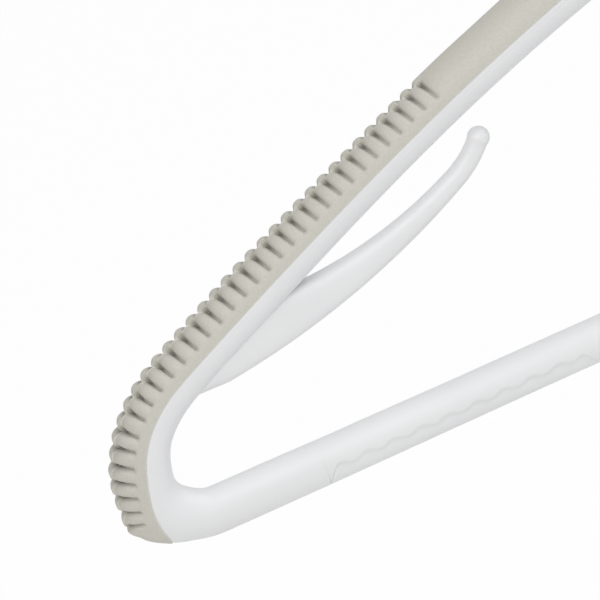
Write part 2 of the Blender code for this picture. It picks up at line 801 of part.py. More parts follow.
def make_nut(collection, material):
    def fill(shape):
        corner = NUT_FLATS / math.sqrt(3.0)
        bmesh.ops.create_cone(
            shape, cap_ends=True, segments=6, radius1=corner, radius2=corner, depth=NUT_HEIGHT,
        )
        for vert in shape.verts:
            vert.co.z += NUT_TOP_Z - NUT_HEIGHT / 2.0
    nut = add_solid("lock_nut", fill, collection, material)
    top, bottom = NUT_TOP_Z + CUT_PAST, NUT_TOP_Z - NUT_HEIGHT - CUT_PAST
    bore = [(0.0, top), (SHANK_HOLE_RADIUS, top), (SHANK_HOLE_RADIUS, bottom), (0.0, bottom)]
    cutters = make_collection("nut_cutters")
    add_turned("nut_bore", bore, cutters)
    combine(nut, cutters, "DIFFERENCE")
    return nut


def main():
    clear_scene()
    parts = make_collection("suit_hanger")
    white = make_material("white_plastic", WHITE_PLASTIC)
    grey = make_material("grey_soft", GREY_SOFT)
    chrome = make_material("chrome", CHROME)
    zinc = make_material("zinc", ZINC)
    make_middle(parts, white)
    make_trouser_bar(parts, white)
    for word, side in (("left", 1.0), ("right", -1.0)):
        make_arm(word, side, parts, white)
        make_grip("shoulder_grip_" + word, side, parts, grey)
    make_hook(parts, chrome)
    make_tip_cap(parts, make_material("clear_vinyl", CLEAR_VINYL))
    make_bushing(parts, make_material("acetal", ACETAL))
    make_washer(parts, zinc)
    make_nut(parts, zinc)


main()
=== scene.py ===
# Looks of a moulded suit hanger: white body, ribbed grey shoulder grips and a chrome swivel hook.
# Sizes are in millimetres until a mesh is made, then in metres.
import math
from contextlib import contextmanager

import bmesh
import bpy
import numpy as np
from mathutils import Matrix, Vector


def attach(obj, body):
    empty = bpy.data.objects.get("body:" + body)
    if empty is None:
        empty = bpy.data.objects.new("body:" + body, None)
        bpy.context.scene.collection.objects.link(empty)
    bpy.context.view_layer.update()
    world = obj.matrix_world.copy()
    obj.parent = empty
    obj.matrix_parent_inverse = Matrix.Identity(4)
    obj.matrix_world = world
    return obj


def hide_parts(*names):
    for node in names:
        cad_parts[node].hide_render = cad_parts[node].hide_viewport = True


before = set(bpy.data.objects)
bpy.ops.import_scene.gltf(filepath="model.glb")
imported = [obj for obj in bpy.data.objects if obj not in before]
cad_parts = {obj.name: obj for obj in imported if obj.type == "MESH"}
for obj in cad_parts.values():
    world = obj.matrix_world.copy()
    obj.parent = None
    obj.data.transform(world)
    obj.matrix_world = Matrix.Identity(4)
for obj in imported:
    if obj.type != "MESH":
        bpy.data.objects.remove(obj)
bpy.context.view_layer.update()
mm = 0.001
print("frame loaded")


def newObject(name, data):
    made = bpy.data.objects.new(name, data)
    bpy.context.scene.collection.objects.link(made)
    return made


def between(low, high, share):
    return low + (high - low) * share


def asShare(value):
    return np.clip(value, 0.0, 1.0)


def fullTurn(count):
    return np.linspace(0.0, 2.0 * math.pi, count + 1)[:-1]


# Node trees


def addNode(tree, kind, inputs, **settings):
    # an input is another node's output or a plain value
    node = tree.nodes.new(kind)
    for word, value in settings.items():
        setattr(node, word, value)
    for word, value in inputs.items():
        if isinstance(value, bpy.types.NodeSocket):
            tree.links.new(value, node.inputs[word])
        else:
            node.inputs[word].default_value = value
    return node


def ranged(tree, value, start, stop, low=0.0, high=1.0, curve="LINEAR"):
    # goes from low to high as the value goes from start to stop
    node = addNode(tree, "ShaderNodeMapRange", {
        "Value": value, "From Min": start, "From Max": stop, "To Min": low, "To Max": high,
    }, interpolation_type=curve)
    return node.outputs["Result"]


class NodeSums:
    # shorthand for sums in a node tree
    def __init__(self, tree):
        self.tree = tree

    def do(self, operation, *terms):
        node = addNode(self.tree, "ShaderNodeMath", dict(enumerate(terms)), operation=operation)
        return node.outputs[0]

    def times(self, *terms):
        result = terms[0]
        for term in terms[1:]:
            result = self.do("MULTIPLY", result, term)
        return result

    def plus(self, one, other):
        return self.do("ADD", one, other)

    def minus(self, one, other):
        return self.do("SUBTRACT", one, other)

    def rest(self, share):
        return self.minus(1.0, share)

    def smooth(self, value, low, high):
        # 0 below low, 1 above high, and eased between them
        return ranged(self.tree, value, low, high, curve="SMOOTHSTEP")

    def attribute(self, word, kind="FLOAT"):
        node = addNode(self.tree, "GeometryNodeInputNamedAttribute", {"Name": word}, data_type=kind)
        return node.outputs["Attribute"]


# Camera, at the photograph's angle

shot = {
    "azimuth": -3.822,       # degrees round the hanger
    "elevation": 25.995,
    "roll": 24.045,
    "distance": 600.0,
    "aim": (-166.81, 0.0, -170.46),
    "lens": 180.0,
    "sensor": 36.0,
    "clip": (0.02, 20.0),    # nearest and farthest that it sees, in metres
}


def addCamera():
    azimuth, elevation = math.radians(shot["azimuth"]), math.radians(shot["elevation"])
    back = Vector((
        math.sin(azimuth) * math.cos(elevation),
        -math.cos(azimuth) * math.cos(elevation),
        math.sin(elevation),
    ))
    right = (-back).cross(Vector((0.0, 0.0, 1.0))).normalized()
    up = right.cross(-back)
    turn = math.radians(shot["roll"]) - math.atan2(up.x, right.x)
    across = right * math.cos(turn) - up * math.sin(turn)
    upright = right * math.sin(turn) + up * math.cos(turn)
    place = (Vector(shot["aim"]) + back * shot["distance"]) * mm
    data = bpy.data.cameras.new("photo_camera")
    data.lens = shot["lens"]
    data.sensor_width = shot["sensor"]
    data.clip_start, data.clip_end = shot["clip"]
    camera = newObject("photo_camera", data)
    camera.matrix_world = Matrix.Translation(place) @ Matrix((across, upright, back)).transposed().to_4x4()
    bpy.context.scene.camera = camera


addCamera()
print("camera placed")

# Lights, world and floor

studio = {
    "worldLight": 0.42,
    "backdrop": (1.0, 1.0, 1.0, 1.0),
    "floorZ": -330.0,
    "floorSize": 6000.0,
    "floorColour": (0.92, 0.92, 0.92, 1.0),
    "floorRoughness": 0.9,
    "floorGlow": 0.97,       # share of the backdrop's white in the floor, as the camera sees it
    "lamps": (               # name, place, size, watts, colour
        ("key", (-500.0, -900.0, 500.0), 600.0, 4.3, (1.0, 0.99, 0.97)),
        ("right", (900.0, -500.0, 500.0), 400.0, 1.2, (1.0, 1.0, 1.0)),
        ("high", (600.0, -300.0, 900.0), 350.0, 3.4, (0.97, 0.99, 1.0)),
    ),
}


def addLamp(name, place, size, watts, colour):
    data = bpy.data.lights.new(name, "AREA")
    data.shape = "DISK"
    data.size = size * mm
    data.energy = watts
    data.color = colour
    lamp = newObject(name, data)
    lamp.location = Vector(place) * mm
    aim = Vector(shot["aim"]) * mm - lamp.location
    lamp.rotation_mode = "QUATERNION"
    lamp.rotation_quaternion = aim.to_track_quat("-Z", "Y")


def seenDirectly(tree):
    # 1 for a ray from the camera or one that a shiny or clear surface sends on
    path = tree.nodes.new("ShaderNodeLightPath")
    seen = path.outputs["Is Camera Ray"]
    for kind in ("Is Glossy Ray", "Is Transmission Ray"):
        seen = NodeSums(tree).do("MAXIMUM", seen, path.outputs[kind])
    return seen


def addStudio():
    for lamp in studio["lamps"]:
        addLamp(*lamp)
    world = bpy.data.worlds.new("studio")
    world.use_nodes = True
    bpy.context.scene.world = world
    tree = world.node_tree
    strength = ranged(tree, seenDirectly(tree), 0.0, 1.0, studio["worldLight"], 1.0)
    background = tree.nodes["Background"]
    background.inputs["Color"].default_value = studio["backdrop"]
    tree.links.new(strength, background.inputs["Strength"])
    bpy.context.scene.view_settings.view_transform = "Standard"


def newPaint(name):
    paint = bpy.data.materials.new(name)
    paint.use_nodes = True
    return paint, paint.node_tree, paint.node_tree.nodes["Principled BSDF"]


def addFloor():
    mesh = bpy.data.meshes.new("floor")
    reach, z = studio["floorSize"] / 2 * mm, studio["floorZ"] * mm
    corners = [(x * reach, y * reach, z) for x, y in ((-1, -1), (1, -1), (1, 1), (-1, 1))]
    mesh.from_pydata(corners, [], [(0, 1, 2, 3)])
    floor = newObject("floor", mesh)
    paint, tree, shader = newPaint("pale_floor")
    shader.inputs["Base Color"].default_value = studio["floorColour"]
    shader.inputs["Roughness"].default_value = studio["floorRoughness"]
    glow = addNode(tree, "ShaderNodeEmission", {"Color": studio["backdrop"]})
    share = NodeSums(tree).times(seenDirectly(tree), studio["floorGlow"])
    blend = addNode(tree, "ShaderNodeMixShader", {0: share, 1: shader.outputs[0], 2: glow.outputs[0]})
    tree.links.new(blend.outputs[0], tree.nodes["Material Output"].inputs["Surface"])
    mesh.materials.append(paint)


addStudio()
addFloor()
print("studio ready")

# The hanger's outer line: arcs from the peak to the trouser bar

line = {
    "peakZ": -101.0,
    "arcs": (                # radius, and the fall angle that the arc ends at
        (60.0, 11.0),
        (620.0, 22.8),
        (1018.0, 26.6),
        (90.0, 30.2),
        (39.3, 50.3),
        (27.0, 90.0),
        (13.9, 144.0),
        (20.6, 180.0),
    ),
    "heights": ((0.0, 14.2), (22.8, 11.2), (28.0, 11.85), (46.0, 11.7), (80.0, 12.25), (144.0, 11.7)),
    "barHeights": ((1.0, 10.1), (10.0, 10.02), (30.0, 9.72), (60.0, 9.4), (85.0, 9.3)),
    "barBow": (13.0, 80.0, 0.26),
    "depths": ((50.3, 12.0), (180.0, 8.0)),
    "fullness": 2.2,
    "innerCorner": 4.5,      # round where the arm's underside meets the bar
    "cornerFalls": (50.3, 95.0, 146.0),      # it starts between the first two, and ends past the last
    "cornerOnBar": 25.0,
    "tipFall": 90.0,         # the outermost place
    "barFall": 180.0,
}


def lineTo(fallAngle):
    length, fall = 0.0, 0.0
    for radius, end in line["arcs"]:
        length += radius * math.radians(min(end, fallAngle) - fall)
        fall = end
        if fallAngle <= end:
            break
    return length


def outerLine(s):
    # points on the left outer line at arc lengths s, and the fall there
    s = np.asarray(s, float)
    x, z = np.zeros_like(s), np.full_like(s, line["peakZ"])
    fall = np.zeros_like(s)
    left, before = s.copy(), 0.0
    for radius, end in line["arcs"]:
        after = math.radians(end)
        run = np.clip(left, 0.0, radius * (after - before))
        here = before + run / radius
        x -= radius * (np.sin(here) - math.sin(before))
        z -= radius * (math.cos(before) - np.cos(here))
        fall = np.where(left > 0.0, here, fall)
        left = left - radius * (after - before)
        before = after
    start, stop, rise = line["barBow"]
    z += eased(((start, 0.0), (stop, rise)), left)
    return x + np.maximum(left, 0.0), z, fall


barStart = lineTo(line["barFall"])


def eased(keys, s):
    s = np.asarray(s, float)
    value = np.full_like(s, keys[0][1])
    for (start, low), (stop, high) in zip(keys, keys[1:]):
        t = asShare((s - start) / (stop - start))
        value = value + (high - low) * t * t * (3.0 - 2.0 * t)
    return value


def bodyHeight(s):
    keys = [(lineTo(fall), height) for fall, height in line["heights"]]
    keys += [(barStart + along, height) for along, height in line["barHeights"]]
    return eased(keys, s)


def bodyDepth(s):
    return eased([(lineTo(fall), depth) for fall, depth in line["depths"]], s)


def plainInner(s):
    x, z, fall = outerLine(s)
    height = bodyHeight(s)
    return np.stack([x + np.sin(fall) * height, z - np.cos(fall) * height], -1)


def roundedCorner():
    # where a ball of the inner corner's radius touches both sides of it, its centre, and
    # the directions from there to the two places
    def side(start, stop, step=0.05, reach=0.02):
        s = np.arange(start, stop, step)
        tangent = plainInner(s + reach) - plainInner(s - reach)
        tangent /= np.linalg.norm(tangent, axis=1, keepdims=True)
        inward = np.stack([-tangent[:, 1], tangent[:, 0]], 1)
        return s, plainInner(s) + inward * line["innerCorner"], np.arctan2(-inward[:, 1], -inward[:, 0])
    first, lastOnArm, firstOnBar = (lineTo(fall) for fall in line["cornerFalls"])
    armS, armCentres, armTurns = side(first, lastOnArm)
    barS, barCentres, barTurns = side(firstOnBar, barStart + line["cornerOnBar"])
    apart = np.linalg.norm(armCentres[:, None] - barCentres[None, :], axis=2)
    i, j = np.unravel_index(np.argmin(apart), apart.shape)
    armTurn, barTurn = armTurns[i] % (2.0 * math.pi), barTurns[j] % (2.0 * math.pi)
    return armS[i], barS[j], (armCentres[i] + barCentres[j]) / 2.0, armTurn, barTurn


cornerStart, cornerEnd, cornerCentre, cornerTurnIn, cornerTurnOut = roundedCorner()


def innerLine(s):
    plain = plainInner(s)
    share = asShare((s - cornerStart) / (cornerEnd - cornerStart))
    turn = between(cornerTurnIn, cornerTurnOut, share)
    roundX = cornerCentre[0] + np.cos(turn) * line["innerCorner"]
    roundZ = cornerCentre[1] + np.sin(turn) * line["innerCorner"]
    inside = (s > cornerStart) & (s < cornerEnd)
    return np.where(inside, roundX, plain[..., 0]), np.where(inside, roundZ, plain[..., 1])


def full(value):
    return np.sign(value) * np.abs(value) ** (2.0 / line["fullness"])


def skin(s, angle, grow=0.0):
    # points on the left half's skin: angle 0 is on the outer line, 90 degrees at the front
    s, angle = np.broadcast_arrays(np.asarray(s, float), np.asarray(angle, float))
    x, z, fall = outerLine(s)
    innerX, innerZ = innerLine(s)
    middleX, middleZ = (x + innerX) / 2.0, (z + innerZ) / 2.0
    half = np.hypot(x - innerX, z - innerZ) / 2.0
    upX, upZ = (x - middleX) / half, (z - middleZ) / half
    out = (half + grow) * full(np.cos(angle))
    front = (bodyDepth(s) / 2.0 + grow) * full(np.sin(angle))
    return np.stack([middleX + upX * out, -front, middleZ + upZ * out], -1)


def outward(s, angle):
    # unit directions out of the skin
    stepAlong, stepRound = 0.05, 0.01
    tangent = skin(s + stepAlong, angle) - skin(s - stepAlong, angle)
    girth = skin(s, angle + stepRound) - skin(s, angle - stepRound)
    normal = np.cross(girth, tangent)
    normal /= np.linalg.norm(normal, axis=-1, keepdims=True)
    across = skin(s, angle) - skin(s, angle + math.pi)
    flip = np.sum(across * normal, -1, keepdims=True) < 0.0
    return np.where(flip, -normal, normal)


def barAt(fromTip):
    tipX, startX = (float(outerLine(s)[0]) for s in (lineTo(line["tipFall"]), barStart))
    return barStart + fromTip - (startX - tipX)


# Meshes


def quads(*corners):
    return np.stack(corners, -1).reshape(-1, 4).tolist()


def gridFaces(rings, points):
    # between closed rings of so many points
    here, point = np.meshgrid(np.arange(rings - 1) * points, np.arange(points), indexing="ij")
    there, following = here + points, (point + 1) % points
    return quads(here + point, here + following, there + following, there + point)


def newMesh(name, points, faces, attributes=None):
    mesh = bpy.data.meshes.new(name)
    mesh.from_pydata((np.asarray(points).reshape(-1, 3) * mm).tolist(), [], faces)
    for word, values in (attributes or {}).items():
        values = np.asarray(values, np.float32)
        kind = "FLOAT_VECTOR" if values.ndim > 1 and values.shape[-1] == 3 else "FLOAT"
        layer = mesh.attributes.new(word, kind, "POINT")
        layer.data.foreach_set("vector" if kind == "FLOAT_VECTOR" else "value", values.ravel())
    mesh.update()
    return mesh


def cover(mesh, paint):
    mesh.materials.clear()
    mesh.materials.append(paint)


def newPiece(name, mesh, paint):
    cover(mesh, paint)
    return newObject(name, mesh)


@contextmanager
def editing(mesh):
    shape = bmesh.new()
    shape.from_mesh(mesh)
    yield shape
    shape.to_mesh(mesh)
    shape.free()


def merge(shape, distance):
    bmesh.ops.remove_doubles(shape, verts=shape.verts, dist=distance)


def fixNormals(mesh):
    with editing(mesh) as shape:
        bmesh.ops.recalc_face_normals(shape, faces=shape.faces)
        if shape.calc_volume(signed=True) < 0.0:
            bmesh.ops.reverse_faces(shape, faces=shape.faces)


def smoothBy(mesh, degrees):
    mesh.shade_smooth()
    mesh.set_sharp_from_angle(angle=math.radians(degrees))


def mirrored(mesh, name):
    # the right hand copy of a left hand mesh
    copy = mesh.copy()
    copy.name = name
    copy.transform(Matrix.Scale(-1.0, 4, (1.0, 0.0, 0.0)))
    copy.flip_normals()
    return copy


def loft(name, rings, attributes=None):
    # closed rings of points, joined up and with a cap on each end
    rings = np.array(rings)
    count, points = rings.shape[:2]
    faces = gridFaces(count, points)
    faces.append(list(range(points)))
    faces.append([(count - 1) * points + i for i in range(points)][::-1])
    mesh = newMesh(name, rings, faces, attributes)
    fixNormals(mesh)
    return mesh


def geometryTree(name, inputs):
    # a tree with geometry in and out and the named inputs, and where those come in
    tree = bpy.data.node_groups.new(name, "GeometryNodeTree")
    tree.interface.new_socket("Geometry", in_out="INPUT", socket_type="NodeSocketGeometry")
    for word, value in inputs.items():
        kind = "NodeSocketMaterial" if isinstance(value, bpy.types.Material) else "NodeSocketFloat"
        tree.interface.new_socket(word, in_out="INPUT", socket_type=kind)
    tree.interface.new_socket("Geometry", in_out="OUTPUT", socket_type="NodeSocketGeometry")
    return tree, tree.nodes.new("NodeGroupInput").outputs


def endTree(tree, geometry, paint):
    realize = addNode(tree, "GeometryNodeRealizeInstances", {0: geometry})
    finish = addNode(tree, "GeometryNodeSetMaterial", {
        "Geometry": realize.outputs[0], "Material": paint,
    })
    addNode(tree, "NodeGroupOutput", {0: finish.outputs[0]})


def finishedMesh(piece):
    # the piece as its modifiers make it, and they go
    graph = bpy.context.evaluated_depsgraph_get()
    mesh = bpy.data.meshes.new_from_object(piece.evaluated_get(graph))
    piece.modifiers.clear()
    return mesh


def applyTree(piece, tree, inputs):
    # runs the tree on the piece with those inputs and keeps the result as a plain mesh
    modifier = piece.modifiers.new(tree.name, "NODES")
    modifier.node_group = tree
    for item in tree.interface.items_tree:
        if item.in_out == "INPUT" and item.name in inputs:
            modifier[item.identifier] = inputs[item.name]
    name, mesh = piece.name, finishedMesh(piece)
    bpy.data.objects.remove(piece)
    return newObject(name, mesh)


print("helpers ready")

# Finishes

finishes = {                 # the grain's scale is per metre, and its depth is in millimetres
    "satinWhite": {
        "colour": (0.88, 0.885, 0.898), "roughness": 0.42, "grain": 900.0, "grainDepth": 0.012,
    },
    "softGrey": {
        "colour": (0.64, 0.624, 0.558), "roughness": 0.6, "grain": 2600.0, "grainDepth": 0.06,
        "glossSpread": 0.05, "cloud": 3200.0, "cloudDetail": 1.0, "shades": (0.95, 1.05),
    },
    "brightChrome": {
        "colour": (0.56, 0.565, 0.575), "roughness": 0.11, "grain": 500.0, "grainDepth": 0.004,
        "glossSpread": 0.02, "cloud": 200.0, "metallic": 1.0,
    },
    "milkyVinyl": {
        "colour": (0.74, 0.75, 0.76), "roughness": 0.3, "grain": 700.0, "grainDepth": 0.01,
    },
    "naturalAcetal": {
        "colour": (0.86, 0.86, 0.84), "roughness": 0.45, "grain": 1200.0, "grainDepth": 0.02,
    },
    "zincPlate": {
        "colour": (0.62, 0.63, 0.65), "roughness": 0.34, "grain": 1500.0, "grainDepth": 0.02,
        "cloud": 900.0, "shades": (0.86, 1.08), "metallic": 1.0,
    },
}
usual = {"metallic": 0.0, "glossSpread": 0.04, "cloud": 60.0, "cloudDetail": 3.0, "shades": (0.985, 1.015)}
patternRange = (0.3, 0.7)    # nearly all of a noise pattern lies in it
greyPaintedLightAndRim = (              # colour, attribute, the colour's share from and to, as that goes from and to
    # painted shade: the grooves turn dark where the groove share is high
    ((0.25, 0.24, 0.21), "grooveAndPaintedShade", (0.0, 0.9), (0.2, 0.95)),
    # painted highlight: a light thread along the flash
    ((0.9, 0.89, 0.84), "flashPaintedHighlight", (0.0, 0.85), (0.3, 0.9)),
    ((0.75, 0.75, 0.74), "rim", (0.6, 0.0), (0.0, 0.35)),
)


def addNoise(tree, scale, detail):
    place = tree.nodes.new("ShaderNodeTexCoord").outputs["Object"]
    noise = addNode(tree, "ShaderNodeTexNoise", {"Vector": place, "Scale": scale, "Detail": detail})
    return noise.outputs["Fac"]


def blended(tree, colour, other, word, shares, places):
    # the colour, with a share of the other one that follows an attribute
    source = addNode(tree, "ShaderNodeAttribute", {}, attribute_name=word)
    share = ranged(tree, source.outputs["Fac"], *places, *shares)
    mix = addNode(tree, "ShaderNodeMix", {
        "Factor": share, "A": colour, "B": (*other, 1.0),
    }, data_type="RGBA")
    return mix.outputs["Result"]


def makeFinish(name, changes=()):
    look = {**usual, **finishes[name]}
    paint, tree, shader = newPaint(name)
    shader.inputs["Metallic"].default_value = look["metallic"]
    clouds = addNoise(tree, look["cloud"], look["cloudDetail"])
    shade = ranged(tree, clouds, *patternRange, *look["shades"])
    colour = addNode(tree, "ShaderNodeVectorMath", {
        0: look["colour"], "Scale": shade,
    }, operation="SCALE").outputs[0]
    for change in changes:
        colour = blended(tree, colour, *change)
    tree.links.new(colour, shader.inputs["Base Color"])
    grain = addNoise(tree, look["grain"], 2.0)
    matt, wide = look["roughness"], look["glossSpread"]
    tree.links.new(ranged(tree, grain, *patternRange, matt - wide, matt + wide), shader.inputs["Roughness"])
    bump = addNode(tree, "ShaderNodeBump", {
        "Strength": 1.0, "Distance": look["grainDepth"] * mm, "Height": grain,
    })
    tree.links.new(bump.outputs["Normal"], shader.inputs["Normal"])
    return paint


satinWhite = makeFinish("satinWhite")
# the grey finish paints shade into the grooves and a highlight onto the flash thread
softGrey = makeFinish("softGrey", greyPaintedLightAndRim)
brightChrome = makeFinish("brightChrome")
milkyVinyl = makeFinish("milkyVinyl")
naturalAcetal = makeFinish("naturalAcetal")
zincPlate = makeFinish("zincPlate")
print("finishes ready")

# Shoulder grips

grip = {
    "thickness": 2.5,
    "gap": 0.2,
    "start": 66.0,
    "stopFall": 147.0,
    "innerTaper": 26.0,
    "outerTaper": 17.0,
    "endAngle": 14.0,
    "angles": ((30.2, 87.5), (75.0, 92.0), (90.0, 90.0)),
    "crest": (               # how far the crest stands out of the body, along the line
        (66.0, 0.0), (115.0, -0.2), (131.0, 0.0), (155.0, -0.14), (170.0, -0.14), (187.0, 0.0),
        (209.0, -0.28), (223.0, -0.08), (231.0, 0.18), (240.0, 0.7), (246.0, 0.9),
    ),
    "padCrest": ((0.5, 2.1), (3.0, 1.55), (9.0, 0.85)),
    "flank": 0.1,            # how far the sides stand out
    "edgeRound": 0.15,       # round on the grip's border
    "edgeProud": 0.03,
    "edgeGap": -0.03,        # the skin laps over the recess's edge
    "stopRise": 0.55,        # the body rises to meet the grip's end
    "stopRun": 5.5,
    "ribCount": 32,
    "firstHeight": 1.1,      # depth of the first grooves, and of those at the tip
    "ribHeight": 1.9,
    "heightRun": 90.0,
    "endShare": 0.55,        # share of that depth where a groove ends
    "ribStart": 138.2,
    "ribPitch": 3.32,
    "pitchGrowth": 0.0157,
    "rollShare": 0.88,       # how much of the pitch the roll takes, beside its groove
    "ribRounding": (20.0, 75.0),     # gentle waves turn to round rolls over this run
    "fadeStart": 1.9,
    "fadeEnd": 2.9,
    "fullAt": 9.0,
    "stagger": (             # how far the front grooves lie up the arm from the back ones
        (134.0, 1.75), (160.0, 1.85), (188.0, 2.2), (200.0, 2.0), (222.0, 1.5), (230.0, 0.4),
        (236.0, -0.1), (246.0, -0.1), (249.5, 0.5),
    ),
    "lean": ((120.0, 0.0), (134.0, 0.15), (222.0, 0.16), (237.0, 0.4), (252.0, 0.55)),
    "dive": ((212.0, 0.0), (230.0, 0.1), (240.0, 0.38), (253.0, 1.15)),
    "squeeze": (234.0, 24.0),
    "seamAngle": ((205.0, 0.0), (235.0, 9.0)),
    "padEdge": 0.5,
    "seamHeight": 0.12,
    "seamWidth": 0.14,
    "halfLedge": 0.35,       # the front half lies lower where the two meet
    "ledgeRun": 3.5,
    "flashHighlightRise": (0.04, 0.11),       # from the seam to the painted highlight, a thread along the flash
    "flashHighlightFall": (0.13, 0.24),
    "flashHighlightRun": (35.0, 62.0),        # it grows from a faint share over this run
    "flashHighlightFaint": 0.3,
    "girthShare": 0.55,      # of the height, for arc lengths round the section
    "acrossScale": 1.1,
    "innerRows": 13,
    "rollPhases": (0.33, 0.58, 0.76, 0.88, 0.955, 0.998),    # rings on half a roll, as shares of it
    "firstPhases": (0.82, 0.72, 0.64, 0.59, 0.55, 0.52, 0.5),
    "padShares": (0.12, 0.28, 0.5, 0.75, 1.0),
    "rowShares": (           # of the half angle, close at the seam, where grooves end and at the border
        0.003, 0.012, 0.021, 0.034, 0.055, 0.09, 0.14, 0.2, 0.27, 0.34, 0.41, 0.48, 0.55, 0.61,
        0.655, 0.685, 0.71, 0.73, 0.75, 0.77, 0.79, 0.81, 0.83, 0.85, 0.875, 0.905, 0.935,
        0.96, 0.98, 0.992, 1.0,
    ),
}
gripStop = lineTo(grip["stopFall"])
lastRib = grip["ribCount"] - 1
lastPitch = grip["ribPitch"] + grip["pitchGrowth"] * lastRib
lastCrest = (grip["ribStart"] + grip["ribPitch"] * lastRib
             + grip["pitchGrowth"] * lastRib * (lastRib - 1) / 2.0)


def squeezed(s):
    # the ribs' own measure, which runs ahead of the line's near the tip
    start, run = grip["squeeze"]
    return s + (np.maximum(s - start, 0.0) / run) ** 2


def unsqueezed(along, step=0.05):
    s = np.arange(0.0, gripStop + 5.0, step)
    return np.interp(along, squeezed(s), s)


padStart = float(unsqueezed(lastCrest + lastPitch / 2.0))


def drawnIn(distance, taper):
    share = asShare(np.asarray(distance, float) / taper)
    return np.sqrt(1.0 - (1.0 - share) ** 2)


def gripHalfAngle(s):
    keys = [(lineTo(fall), angle) for fall, angle in grip["angles"]]
    ends = drawnIn(s - grip["start"], grip["innerTaper"]) * drawnIn(gripStop - s, grip["outerTaper"])
    return np.radians(between(grip["endAngle"], eased(keys, s), ends))


def gripProud(s, turn):
    keys = list(grip["crest"]) + [(padStart + along, proud) for along, proud in grip["padCrest"]]
    return between(grip["flank"], eased(keys, s), np.cos(turn) ** 2)


def seamTurn(s):
    return np.radians(eased(grip["seamAngle"], s))


def leaned(s, turn):
    # where a ring that crosses the crest at s passes the front: the rolls lean up the arm
    end = ((gripStop - 1.0, 0.0),)
    seam, ahead = seamTurn(s), np.maximum(turn, seamTurn(s))
    forward = bodyDepth(s) / 2.0 * (full(np.sin(ahead)) - full(np.sin(seam)))
    below = bodyHeight(s) / 2.0 * (full(np.cos(seam)) - full(np.cos(ahead)))
    return s - eased(grip["lean"] + end, s) * forward + eased(grip["dive"] + end, s) * below


def heelRise(s, turn):
    before, after = gripStop - grip["stopRun"], gripStop + grip["stopRun"]
    rise = eased(((before, 0.0), (gripStop, grip["stopRise"]), (after, 0.0)), s)
    return rise * asShare(np.cos(turn)) ** 2


def ringHalfAngle(s, tries=16):
    # half angle at which a leaned ring meets the grip's border
    half = gripHalfAngle(s)
    for _ in range(tries):
        half = (half + gripHalfAngle(leaned(s, half))) / 2.0
    return half


def ribStations():
    # close together where a roll turns down into its groove, in the ribs' own measure
    wall = grip["rollShare"] / 2.0
    half = [wall * share for share in grip["rollPhases"]]
    phases = [-phase for phase in half[::-1]] + [0.0] + half + [0.5]
    crest, pitch = grip["ribStart"], grip["ribPitch"]
    stations = [crest - pitch * share for share in grip["firstPhases"]]
    for rib in range(grip["ribCount"]):
        stations += [crest + pitch * phase for phase in phases]
        crest += pitch
        pitch += grip["pitchGrowth"]
    return np.array(stations)


def ribLines(first=120.0, step=0.02, apart=0.03):
    # where the back's stations and the front's staggered ones cross the crest
    s = np.arange(first, gripStop, step)
    back = unsqueezed(ribStations())
    front = np.interp(ribStations(), squeezed(s) + eased(grip["stagger"], s), s)
    both = np.sort(np.concatenate([back, front]))
    kept = [both[0]]
    for station in both[1:]:
        if station - kept[-1] > apart:
            kept.append(station)
    return kept


def gripStations():
    rounding = np.linspace(0.0, 1.0, 26) ** 2
    stations = list(grip["start"] + grip["innerTaper"] * rounding)
    ribs = ribLines()
    stations += list(np.linspace(stations[-1], ribs[0], 32)[1:-1]) + ribs
    stations += [padStart + grip["padEdge"] * share for share in grip["padShares"]]
    left = gripStop - stations[-1]
    stations += list(gripStop - left * np.linspace(1.0, 0.0, 34)[1:] ** 1.6)
    return np.array(stations)


def asInputs(sizes, words, paint):
    # a tree's inputs from a piece's sizes, with ribStart as Rib Start
    spaced = ("".join(" " + letter if letter.isupper() else letter for letter in word) for word in words)
    return {name.title(): float(sizes[word]) for name, word in zip(spaced, words)} | {"Paint": paint}


ribInputs = asInputs(grip, (
    "ribStart", "ribPitch", "pitchGrowth", "ribCount", "firstHeight", "ribHeight", "heightRun", "rollShare",
    "endShare", "fadeStart", "fadeEnd", "fullAt", "padEdge", "seamHeight", "seamWidth", "halfLedge",
    "ledgeRun",
), softGrey)


